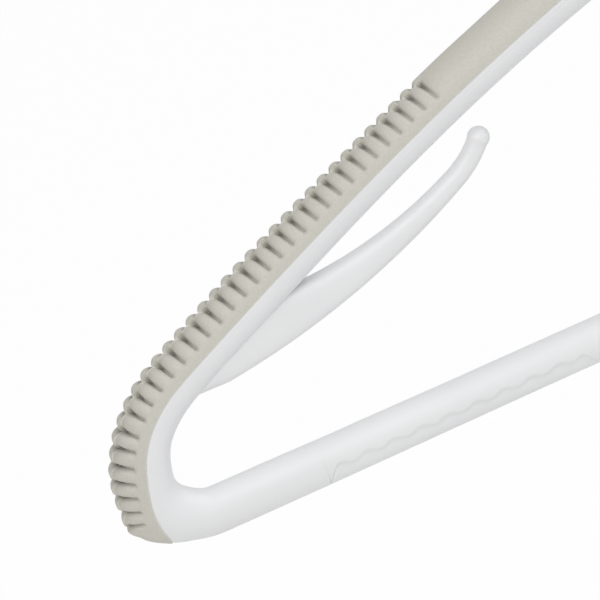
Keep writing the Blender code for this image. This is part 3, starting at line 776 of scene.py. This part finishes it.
def ribTree():
    tree, value = geometryTree("ribbed_skin", ribInputs)
    sums = NodeSums(tree)
    do, times, plus, minus, rest, smooth = (
        sums.do, sums.times, sums.plus, sums.minus, sums.rest, sums.smooth,
    )
    across, rim, outer = (sums.attribute(word) for word in ("across", "rim", "outer"))
    run = minus(sums.attribute("along"), value["Rib Start"])
    # which rib, as a running number, from the pitch that grows a little each time
    square = times(value["Pitch Growth"], 0.5)
    plain = minus(value["Rib Pitch"], square)
    inside = plus(times(plain, plain), times(square, 4.0, run))
    number = do("DIVIDE", minus(do("SQRT", inside), plain), times(square, 2.0))
    shifted = do("FRACT", plus(number, 0.5))
    off = times(do("ABSOLUTE", minus(shifted, 0.5)), 2.0)
    # a round roll, flat on its crest and steep at the groove, and a gentler one for the first
    reach = do("MINIMUM", do("DIVIDE", off, value["Roll Share"]), 1.0)
    roll = do("SQRT", rest(times(reach, reach)))
    rounding = smooth(run, *grip["ribRounding"])
    depth = plus(times(do("POWER", reach, 3.0), rest(rounding)), times(rest(roll), rounding))
    started = do("GREATER_THAN", number, -1.0)
    # past the last roll, the groove goes over to the smooth pad
    last = minus(value["Rib Count"], 0.5)
    lastWidth = plus(value["Rib Pitch"], times(value["Pitch Growth"], last))
    past = times(minus(number, last), lastWidth)
    onPad = do("GREATER_THAN", number, last)
    grooved = addNode(tree, "ShaderNodeMix", {
        "Factor": onPad, "A": times(depth, started),
        "B": rest(smooth(past, 0.0, value["Pad Edge"])),
    }).outputs["Result"]
    # grooves fade towards the border
    deeper = times(smooth(rim, value["Fade End"], value["Full At"]), rest(value["End Share"]))
    fade = times(smooth(rim, value["Fade Start"], value["Fade End"]), plus(deeper, value["End Share"]))
    # the groove share sinks the grooves, and the grey finish also paints shade into them by it
    grooveAndPaintedShade = times(grooved, fade, outer)
    growth = minus(value["Rib Height"], value["First Height"])
    taller = times(smooth(run, 0.0, value["Height Run"]), growth)
    sink = times(grooveAndPaintedShade, plus(value["First Height"], taller))
    # a thin line stands on the seam, and the front half lies lower beside it
    fromSeam = do("ABSOLUTE", across)
    ribbed = times(smooth(number, -1.0, 0.0), rest(onPad))
    near = rest(smooth(fromSeam, 0.0, value["Seam Width"]))
    seam = times(near, value["Seam Height"], outer, ribbed)
    front = rest(do("GREATER_THAN", across, 0.0))
    besideSeam = rest(smooth(fromSeam, 0.0, value["Ledge Run"]))
    ledge = times(front, besideSeam, value["Half Ledge"], outer, ribbed)
    lift = times(minus(minus(seam, sink), ledge), mm)
    # a painted highlight: a light thread along the front half's edge, next to the seam
    ahead = times(across, -1.0)
    thread = minus(smooth(ahead, *grip["flashHighlightRise"]), smooth(ahead, *grip["flashHighlightFall"]))
    faint = grip["flashHighlightFaint"]
    grown = plus(times(smooth(run, *grip["flashHighlightRun"]), 1.0 - faint), faint)
    flashPaintedHighlight = times(thread, ribbed, outer, grown)
    geometry = value["Geometry"]
    # the groove share is kept for painted shade, and the flash thread for a painted highlight
    for word, level in (("grooveAndPaintedShade", grooveAndPaintedShade), ("flashPaintedHighlight", flashPaintedHighlight)):
        geometry = addNode(tree, "GeometryNodeStoreNamedAttribute", {
            "Geometry": geometry, "Name": word, "Value": level,
        }, data_type="FLOAT", domain="POINT").outputs["Geometry"]
    offset = addNode(tree, "ShaderNodeVectorMath", {
        0: sums.attribute("outward", "FLOAT_VECTOR"), "Scale": lift,
    }, operation="SCALE").outputs[0]
    move = addNode(tree, "GeometryNodeSetPosition", {"Geometry": geometry, "Offset": offset})
    endTree(tree, move.outputs[0], value["Paint"])
    return tree


def makeGrip():
    s, half = gripStations(), np.array(grip["rowShares"])
    rows = np.concatenate([-half[::-1], half])
    front, back = ringHalfAngle(s)[:, None], gripHalfAngle(s)[:, None]
    half = np.where(rows[None, :] > 0.0, front, back)
    seam = seamTurn(s)[:, None]
    turn = seam + (half - seam * np.sign(rows[None, :])) * rows[None, :]
    station = np.broadcast_to(s[:, None], turn.shape)
    place = leaned(station, turn)
    staggered = squeezed(station) + eased(grip["stagger"], station) * (rows[None, :] > 0.0)
    girth = bodyHeight(s)[:, None] * grip["girthShare"]
    rim = (half - np.abs(turn)) * girth
    rim = np.minimum(rim, np.minimum(s - grip["start"], gripStop - s)[:, None])
    edge = drawnIn(np.maximum(rim, 0.0), grip["edgeRound"])
    border = grip["edgeProud"] + heelRise(place, turn)
    grow = between(border, gripProud(place, turn), edge)
    outer = skin(place, turn, grow)
    rowsIn = np.linspace(1.0, -1.0, grip["innerRows"])[None, :]
    turnIn = np.where(rowsIn > 0.0, front, back) * rowsIn
    inner = skin(leaned(s[:, None], turnIn), turnIn, -grip["thickness"])

    def both(values, filler):
        tail = np.full(inner.shape[:2] + values.shape[2:], filler)
        return np.concatenate([values, tail], 1)
    mesh = loft("grip_skin", np.concatenate([outer, inner], 1), {
        "along": both(staggered, 0.0),
        "across": both((seam - turn) * girth * grip["acrossScale"], 9.0),
        "rim": both(rim, 0.0),
        "outer": both(np.ones_like(turn), 0.0),
        "outward": both(outward(place, turn), 0.0).reshape(-1, 3),
    })
    piece = newObject("grip_left", mesh)
    piece = applyTree(piece, ribTree(), ribInputs)
    smoothBy(piece.data, 60.0)
    return piece


gripLeft = makeGrip()
gripRight = newObject("grip_right", mirrored(gripLeft.data, "grip_right"))
print("grips made:", len(gripLeft.data.polygons), "faces each")

# Moulded body

body = {
    "crease": 0.05,          # parting line beside the grips
    "creaseAt": 1.0,
    "creaseWidth": 0.12,
    "creaseGrows": 6.0,      # over this run
    "creaseEnds": (3.0, 8.0),        # so far before the grip's end, after a run that it fades over
    "wavePitch": 6.17,
    "waveRun": 60.4,
    "waveSwing": 0.5,
    "waveRise": 0.45,
    "waveDepth": 0.5,
    "waveFromTip": 40.9,
    "waveTaper": 3.5,
    "waveEndAngle": 30.0,
    "waveEnds": 0.8,         # run over which the relief starts and stops
    "waveEntry": 0.15,       # shares of the band for the slope into the relief and out of it
    "waveLow": 0.1,
    "waveOut": 0.5,
    "bandShares": (
        0.0, 0.12, 0.24, 0.36, 0.48, 0.59, 0.68, 0.76, 0.82, 0.87, 0.905, 0.935, 0.965, 0.985, 1.0,
    ),
    "sideOffsets": (0.03, 0.3, 0.7, 0.88, 1.0, 1.12, 1.3, 1.7),      # rows beside the border
    "girthShare": 0.57,
    "afterGrip": (1.0, 9.0, 60.0),   # the band widens from the grip's end on, by these degrees
    "beforeWave": (12.0, 1.0, -46.0),
    "ringGaps": (1.5, 0.7, 0.9),     # on the arm, round the tip, and from the grip to the wave
    "closerFrom": 30.2,      # the fall where the tip's gaps start
    "backRows": 14,
}
waveStart = barAt(body["waveFromTip"])
waveStop = waveStart + body["waveRun"]


def waveHalfAngle(s):
    along = s - waveStart
    rise = body["waveRise"] - body["waveSwing"] * np.cos(2.0 * math.pi * along / body["wavePitch"])
    crest = 90.0 + np.degrees(np.arcsin(2.0 * rise / line["heights"][-1][1]))
    ends = drawnIn(along, body["waveTaper"]) * drawnIn(body["waveRun"] - along, body["waveTaper"])
    return np.radians(between(body["waveEndAngle"], crest, ends))


def bodyStations():
    # arc lengths, with the recess's end walls twice, and how far each ring is sunk for the grip
    start, stop = grip["start"] - grip["edgeGap"], gripStop + grip["edgeGap"]
    sink = grip["thickness"] + grip["gap"]
    rounding = np.linspace(0.0, 1.0, 26)[1:] ** 2
    taper = grip["start"] + grip["innerTaper"] * rounding
    ending = gripStop - grip["outerTaper"] * np.linspace(1.0, 0.0, 26) ** 1.6
    onArm, atTip, toWave = body["ringGaps"]
    closer, end = lineTo(body["closerFrom"]), barStart - float(outerLine(barStart)[0])
    stations = []
    for places, depth in (
        (np.linspace(0.0, start, 34), 0.0),
        ((start, *taper), sink),
        (np.arange(taper[-1] + onArm, closer, onArm), sink),
        (np.arange(closer, gripStop - grip["outerTaper"], atTip), sink),
        ((*ending[:-1], stop), sink),
        (np.arange(stop, waveStart - 0.2, toWave), 0.0),
        (np.arange(waveStart, waveStop, body["wavePitch"] / 18.0), 0.0),
        (np.linspace(waveStop, end, 30), 0.0),
    ):
        stations += [(s, depth) for s in places]
    return np.array(stations)


def borderAngle(s):
    # half angle of the outer band: under the grip, then under the wave's line
    withGrip = gripHalfAngle(np.clip(s, grip["start"], gripStop)) + 2.0 * grip["edgeGap"] / bodyDepth(s)
    withWave = waveHalfAngle(np.clip(s, waveStart, waveStop))
    first, last, wider = body["afterGrip"]
    widened = eased(((gripStop + first, 0.0), (gripStop + last, math.radians(wider))), s)
    first, last, wider = body["beforeWave"]
    narrowed = eased(((waveStart - first, 0.0), (waveStart - last, math.radians(wider))), s)
    plain = np.where(s > gripStop, withGrip + widened + narrowed, withGrip)
    return np.where(s > waveStart, withWave, plain)


def makeBodyHalf():
    stations = bodyStations()
    s, sunk = stations[:, :1], stations[:, 1:]
    border = borderAngle(s)
    shares = np.array(body["bandShares"])[None, :]
    bandTurn = border * shares
    below = 1.0 - shares
    ends = body["waveEnds"]
    waving = asShare((s - waveStart) / ends) * asShare((waveStop - s) / ends)
    entry = asShare(below / body["waveEntry"])
    leaving = 1.0 - asShare((below - body["waveLow"]) / body["waveOut"])
    hollow = entry ** 2 * (3.0 - 2.0 * entry) * leaving ** 1.5
    grow = heelRise(s, bandTurn) * (sunk == 0.0) - sunk - waving * body["waveDepth"] * hollow
    band = skin(np.broadcast_to(s, bandTurn.shape), bandTurn, grow)
    offsets = np.array(body["sideOffsets"])[None, :]
    sideTurn = border + offsets / (body["girthShare"] * bodyHeight(s))
    last = sideTurn[:, -1:]
    onward = np.linspace(0.0, 1.0, body["backRows"] + 1)[1:]
    sideTurn = np.concatenate([sideTurn, last + (math.pi - last) * onward[None, :]], 1)
    left, run = body["creaseEnds"]
    besideGrip = asShare((s - grip["start"]) / body["creaseGrows"]) * asShare((gripStop - left - s) / run)
    dip = np.exp(-((offsets - body["creaseAt"]) / body["creaseWidth"]) ** 2) * body["crease"] * besideGrip
    sideGrow = np.concatenate([-dip, np.zeros((len(s), len(onward)))], 1)
    sideGrow += heelRise(s, sideTurn)
    side = skin(np.broadcast_to(s, sideTurn.shape), sideTurn, sideGrow)
    front = np.concatenate([band, side], 1)
    back = front[:, -2:0:-1] * np.array([1.0, -1.0, 1.0])
    points = np.concatenate([front, back], 1)
    points[0, :, 0] = 0.0
    points[-1, :, 0] = 0.0
    return newMesh("body_half", points, gridFaces(len(s), points.shape[1]))


def makeBodyLoft():
    half = makeBodyHalf()
    other = mirrored(half, "other_half")
    with editing(half) as shape:
        shape.from_mesh(other)
        seam = [vert for vert in shape.verts if abs(vert.co.x) < 1e-7]
        bmesh.ops.remove_doubles(shape, verts=seam, dist=2e-6)
    fixNormals(half)
    return half


# Strap fingers

finger = {
    "rootFromTip": 43.6,
    "rootSink": 3.35,
    "rootRise": -2.3,
    "tailLength": 6.5,
    "tailHeight": 10.4,
    "bends": ((113.8, 27.6), (21.0, 50.5)),      # radius, and the rise that each ends at
    "rootHeight": 14.4,
    "rootDepth": 7.7,
    "endWidth": 4.15,
    "ballRadius": 2.3,
    "webFlatness": 4.5,      # fullness of the section at the root
    "endFlatness": 2.2,
    "ballTurns": (-8.0, 80.0, 87.0),         # the ball's rings run from the first to the second
}


def fingerPath(steps=56, least=8):
    s = lineTo(line["tipFall"]) - finger["rootFromTip"]
    start = skin(s, math.pi, -finger["rootSink"])
    x, z, rise = float(start[0]), float(start[2]), math.radians(finger["rootRise"])
    rises = [rise] + [math.radians(end) for radius, end in finger["bends"]]
    bends = [(bend[0], end - start) for bend, start, end in zip(finger["bends"], rises, rises[1:])]
    total = sum(radius * turn for radius, turn in bends)
    places = [(x, z, rise, 0.0)]
    gone = 0.0
    for radius, turn in bends:
        count = max(least, round(steps * radius * turn / total))
        for i in range(count):
            step = radius * turn / count
            x += step * math.cos(rise + turn / count / 2.0)
            z += step * math.sin(rise + turn / count / 2.0)
            rise += turn / count
            gone += step
            places.append((x, z, rise, gone / total))
    return places


def makeFinger(side):
    turns = fullTurn(40)

    def ring(x, z, rise, height, depth, fullness=2.0):
        def rounded(value):
            return np.sign(value) * np.abs(value) ** (2.0 / fullness)
        up = height / 2.0 * rounded(np.cos(turns))
        front = depth / 2.0 * rounded(np.sin(turns))
        return np.stack([side * (x - math.sin(rise) * up), front, z + math.cos(rise) * up], 1)
    places = fingerPath()
    x, z, rise, share = places[0]
    drop = (finger["rootHeight"] - finger["tailHeight"]) / 2.0
    tailX = x - finger["tailLength"] * math.cos(rise) + drop * math.sin(rise)
    tailZ = z - finger["tailLength"] * math.sin(rise) - drop * math.cos(rise)
    rings = [ring(tailX, tailZ, rise, finger["tailHeight"], finger["rootDepth"], finger["webFlatness"])]
    for x, z, rise, share in places:
        thin = 1.0 - (1.0 - share) ** 2
        height = between(finger["rootHeight"], finger["endWidth"], thin)
        depth = between(finger["rootDepth"], finger["endWidth"], thin)
        fullness = between(finger["webFlatness"], finger["endFlatness"], thin)
        rings.append(ring(x, z, rise, height, depth, fullness))
    ball = finger["ballRadius"]
    back = ball * math.sin(math.acos(finger["endWidth"] / 2.0 / ball))
    first, last, pole = finger["ballTurns"]
    for turn in np.radians([*np.linspace(first, last, 12), pole]):
        reach, width = back + ball * math.sin(turn), 2.0 * ball * math.cos(turn)
        rings.append(ring(x + reach * math.cos(rise), z + reach * math.sin(rise), rise, width, width))
    return loft("finger", rings)


# Hub, neck and the bore for the swivel

hub = {
    "width": 36.0,
    "height": 23.0,
    "depth": 17.0,
    "edge": 2.0,
    "z": -107.5,
    "neckTop": -88.0,
    "neckTopRadius": 6.6,
    "neckRootRadius": 8.4,
    "neckEdge": 0.8,
    "boreRadius": 4.4,
    "boreSeat": -103.0,
    "holeRadius": 2.2,
    "shelf": -106.0,
    "pocketRadius": 4.9,
}


def turned(name, profile, steps=96):
    # profile of (radius, z) turned round the Z axis
    count, turns = len(profile), fullTurn(steps)[:, None]
    radius, z = np.array(profile, float).T[:, None]
    points = np.stack(np.broadcast_arrays(np.cos(turns) * radius, np.sin(turns) * radius, z), -1)
    here, point = np.meshgrid(np.arange(steps) * count, np.arange(count - 1), indexing="ij")
    there = (here + count) % (steps * count)
    mesh = newMesh(name, points, quads(here + point, there + point, there + point + 1, here + point + 1))
    with editing(mesh) as shape:
        merge(shape, 1e-7)
        bmesh.ops.dissolve_degenerate(shape, dist=1e-8, edges=shape.edges)
    fixNormals(mesh)
    return mesh


def rounded(profile, radius, steps=5, closed=False):
    # the profile with its corners rounded
    profile = [np.array(point, float) for point in profile]
    count, result = len(profile), []
    for i, corner in enumerate(profile):
        if not closed and i in (0, count - 1):
            result.append(corner)
            continue
        before, after = profile[i - 1] - corner, profile[(i + 1) % count] - corner
        lengthIn, lengthOut = np.linalg.norm(before), np.linalg.norm(after)
        reach = min(radius, 0.45 * lengthIn, 0.45 * lengthOut)
        start, stop = corner + before / lengthIn * reach, corner + after / lengthOut * reach
        for t in np.linspace(0.0, 1.0, steps + 1):
            result.append(start * (1 - t) ** 2 + corner * 2 * t * (1 - t) + stop * t ** 2)
    if closed:
        result.append(result[0])
    return result


def makeHub():
    turns = fullTurn(128)
    levels = []
    for turn in np.linspace(0.0, math.pi / 2.0, 7):
        y = hub["depth"] / 2.0 - hub["edge"] * (1.0 - math.cos(turn))
        levels.append((y, hub["edge"] * (1.0 - math.sin(turn))))
    levels = [(-y, inset) for y, inset in levels] + levels[::-1]
    rings = []
    for y, inset in levels:
        x = (hub["width"] / 2.0 - inset) * np.cos(turns)
        z = hub["z"] + (hub["height"] / 2.0 - inset) * np.sin(turns)
        rings.append(np.stack([x, np.full_like(turns, y), z], 1))
    return loft("hub", rings)


def makeNeck():
    rise = hub["neckTop"] - hub["z"]
    profile = [(0.0, hub["neckTop"]), (hub["neckTopRadius"], hub["neckTop"])]
    for share in np.linspace(0.0, 1.0, 16)[1:]:
        radius = between(hub["neckTopRadius"], hub["neckRootRadius"], share ** 2)
        profile.append((radius, hub["neckTop"] - rise * share))
    profile.append((0.0, hub["z"]))
    edge = rounded(profile[:3], hub["neckEdge"])
    return turned("neck", edge[:-1] + profile[2:])


def makeBore():
    top, bottom = hub["neckTop"] + 2.0, hub["z"] - hub["height"] / 2.0 - 2.0
    return turned("bore", [
        (0.0, top), (hub["boreRadius"], top), (hub["boreRadius"], hub["boreSeat"]),
        (hub["holeRadius"], hub["boreSeat"]), (hub["holeRadius"], hub["shelf"]),
        (hub["pocketRadius"], hub["shelf"]), (hub["pocketRadius"], bottom), (0.0, bottom),
    ], 64)


def combine(piece, meshes, operation):
    # join the piece with the meshes, or cut them out of it
    forms = bpy.data.collections.new("forms")
    helpers = [bpy.data.objects.new(mesh.name, mesh) for mesh in meshes]
    for helper in helpers:
        forms.objects.link(helper)
    bpy.context.scene.collection.children.link(forms)
    boolean = piece.modifiers.new("forms", "BOOLEAN")
    boolean.operand_type = "COLLECTION"
    boolean.collection = forms
    boolean.operation = operation
    piece.data = finishedMesh(piece)
    for helper in helpers:
        bpy.data.objects.remove(helper)
    bpy.data.collections.remove(forms)


def settle(mesh):
    # without slivers that fold on themselves, with triangles for faces of many corners
    with editing(mesh) as shape:
        merge(shape, 2e-6)
        bmesh.ops.dissolve_degenerate(shape, dist=1e-7, edges=shape.edges)
        bmesh.ops.triangulate(shape, faces=[face for face in shape.faces if len(face.verts) > 4])
        loose = {face for edge in shape.edges if edge.is_boundary for face in edge.link_faces}
        bmesh.ops.delete(shape, geom=list(loose), context="FACES")


def makeBody():
    piece = newPiece("moulded_body", makeBodyLoft(), satinWhite)
    combine(piece, [makeHub(), makeNeck(), makeFinger(1.0), makeFinger(-1.0)], "UNION")
    combine(piece, [makeBore()], "DIFFERENCE")
    settle(piece.data)
    cover(piece.data, satinWhite)
    smoothBy(piece.data, 32.0)
    return piece


mouldedBody = makeBody()
print("body made:", len(mouldedBody.data.polygons), "faces")

# Hook, bent from round wire, and what turns in the neck

hook = {
    "wire": 1.9,
    "bowInner": 20.0,
    "overAngle": 184.0,
    "returnRadius": 13.0,
    "flareRadius": 20.0,
    "flareAngle": 32.0,
    "shankEnd": -111.9,
    "beadRadius": 3.4,
    "beadHeight": 1.8,
    "beadFoot": -86.1,
    "beadRound": 0.45,
    "shankBelow": -60.0,     # the wire is straight under this
    "endRound": 0.5,         # the wire's ends draw in by this run, to this share
    "endShare": 0.78,
    "endRun": 13.0,
    "capWall": 0.9,
    "capGap": 0.3,
    "capEnd": 2.0,
    "capRing": ((0.0, 1.4), (-0.12, 1.1), (0.0, 0.8), (0.0, 0.25), (-0.25, 0.0)),    # from the outside
    "capMouth": ((0.15, 0.0), (0.0, 0.2)),   # from the bore
    "step": 0.8,
}


def hookLine():
    bow = hook["bowInner"] + hook["wire"]
    centreZ = hook["wire"] - bow
    low = -math.acos(hook["returnRadius"] / (bow + hook["returnRadius"]))
    returnZ = centreZ + (bow + hook["returnRadius"]) * math.sin(low)
    points = [(0.0, z) for z in np.arange(hook["shankEnd"], returnZ, hook["step"] / 4.0)]

    def arc(x, z, radius, start, end):
        turns = np.linspace(start, end, round(abs(end - start) * radius / hook["step"]) + 1)
        return [(x + radius * math.cos(turn), z + radius * math.sin(turn)) for turn in turns]
    points += arc(hook["returnRadius"], returnZ, hook["returnRadius"], math.pi, math.pi + low)
    over = math.radians(hook["overAngle"])
    points += arc(0.0, centreZ, bow, low, over)[1:]
    flareX = (bow + hook["flareRadius"]) * math.cos(over)
    flareZ = centreZ + (bow + hook["flareRadius"]) * math.sin(over)
    end = over - math.pi - math.radians(hook["flareAngle"])
    points += arc(flareX, flareZ, hook["flareRadius"], over - math.pi, end)[1:]
    heading = end - math.pi / 2.0
    x, z = points[-1]
    along = np.linspace(0.0, hook["endRun"], 14)[1:]
    run = [(x + gone * math.cos(heading), z + gone * math.sin(heading)) for gone in along]
    return np.array(points + run), run[-1], heading


wireInputs = {"Wire Radius": hook["wire"] * mm, "Sides": 48.0, "Paint": brightChrome}


def wireTree():
    tree, value = geometryTree("bent_wire", wireInputs)
    section = addNode(tree, "GeometryNodeCurvePrimitiveCircle", {
        "Resolution": value["Sides"], "Radius": value["Wire Radius"],
    })
    sweep = addNode(tree, "GeometryNodeCurveToMesh", {
        "Curve": value["Geometry"], "Profile Curve": section.outputs["Curve"], "Fill Caps": True,
    })
    smooth = addNode(tree, "GeometryNodeSetShadeSmooth", {"Geometry": sweep.outputs["Mesh"]})
    endTree(tree, smooth.outputs[0], value["Paint"])
    return tree


def makeHook():
    points = hookLine()[0]
    curve = bpy.data.curves.new("hook_wire", "CURVE")
    curve.dimensions = "3D"
    spline = curve.splines.new("POLY")
    spline.points.add(len(points) - 1)
    fromFoot = points[:, 1] - hook["beadFoot"]
    onShank = (np.abs(points[:, 0]) < 0.01) & (points[:, 1] < hook["shankBelow"])
    fromEdge = np.minimum(fromFoot, hook["beadHeight"] - fromFoot)
    bead = drawnIn(fromEdge, hook["beadRound"]) * onShank
    radius = between(1.0, hook["beadRadius"] / hook["wire"], bead)
    distance = np.concatenate([[0.0], np.cumsum(np.linalg.norm(np.diff(points, axis=0), axis=1))])
    fromEnd = np.minimum(distance, distance[-1] - distance)
    radius = radius * between(hook["endShare"], 1.0, drawnIn(fromEnd, hook["endRound"]))
    for point, (x, z), size in zip(spline.points, points * mm, radius):
        point.co = (x, 0.0, z, 1.0)
        point.radius = size
    piece = applyTree(newObject("hook_wire", curve), wireTree(), wireInputs)
    with editing(piece.data) as shape:
        merge(shape, 1e-7)
    fixNormals(piece.data)
    smoothBy(piece.data, 50.0)
    return piece


def makeTipCap():
    bore = hook["wire"] + hook["capGap"]
    outer = bore + hook["capWall"]
    length = hook["endRun"]
    depth = length - hook["capEnd"]
    profile = [(0.0, length)]
    for turn in np.linspace(math.pi / 2.0, 0.0, 12)[1:]:
        profile.append((outer * math.cos(turn), length - outer + outer * math.sin(turn)))
    profile += [(outer + out, height) for out, height in hook["capRing"]]
    profile += [(bore + out, height) for out, height in hook["capMouth"]]
    profile += [(bore, depth), (0.0, depth)]
    mesh = turned("tip_cap", profile, 64)
    (x, z), heading = hookLine()[1:]
    back = depth - hook["capGap"]
    turn = Matrix.Rotation(math.pi / 2.0 - heading, 4, "Y")
    place = Vector((x - back * math.cos(heading), 0.0, z - back * math.sin(heading))) * mm
    mesh.transform(Matrix.Translation(place) @ turn)
    piece = newPiece("tip_cap", mesh, milkyVinyl)
    smoothBy(mesh, 40.0)
    return piece


bush = {
    "bore": 2.2,
    "barrel": 4.1,
    "flange": 5.6,
    "gap": 0.3,
    "flangeTop": 1.6,
    "edge": 0.3,
}


def makeBushing():
    seat, foot = hub["neckTop"] + bush["gap"], hub["boreSeat"] + bush["gap"]
    top = hub["neckTop"] + bush["flangeTop"]
    mesh = turned("swivel_bushing", rounded([
        (bush["bore"], top), (bush["flange"], top), (bush["flange"], seat),
        (bush["barrel"], seat), (bush["barrel"], foot), (bush["bore"], foot),
    ], bush["edge"], 4, True), 96)
    piece = newPiece("swivel_bushing", mesh, naturalAcetal)
    smoothBy(mesh, 40.0)
    return piece


hookWire = makeHook()
tipCap = makeTipCap()
bushing = makeBushing()
for node in ("thrust_washer", "lock_nut"):
    cover(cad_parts[node].data, zincPlate)
print("hook and bushing made")

# Which piece stands for what, and the body that it moves with

mouldedNodes = ["hub", "trouser_bar"]
for side in ("left", "right"):
    mouldedNodes += [word + side for word in ("arm_", "arm_tip_", "strap_finger_")]
pieces = (
    (mouldedBody, mouldedNodes, "hanger", "white_plastic"),
    (gripLeft, ["shoulder_grip_left"], "hanger", "grey_soft"),
    (gripRight, ["shoulder_grip_right"], "hanger", "grey_soft"),
    (hookWire, ["hook"], "hook", "hook_chrome"),
    (tipCap, ["hook_tip_cap"], "hook", "tip_vinyl"),
    (bushing, ["neck_bushing"], "hanger", "bushing_acetal"),
)
for piece, nodes, bodyName, slotName in pieces:
    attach(piece, bodyName)
    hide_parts(*nodes)
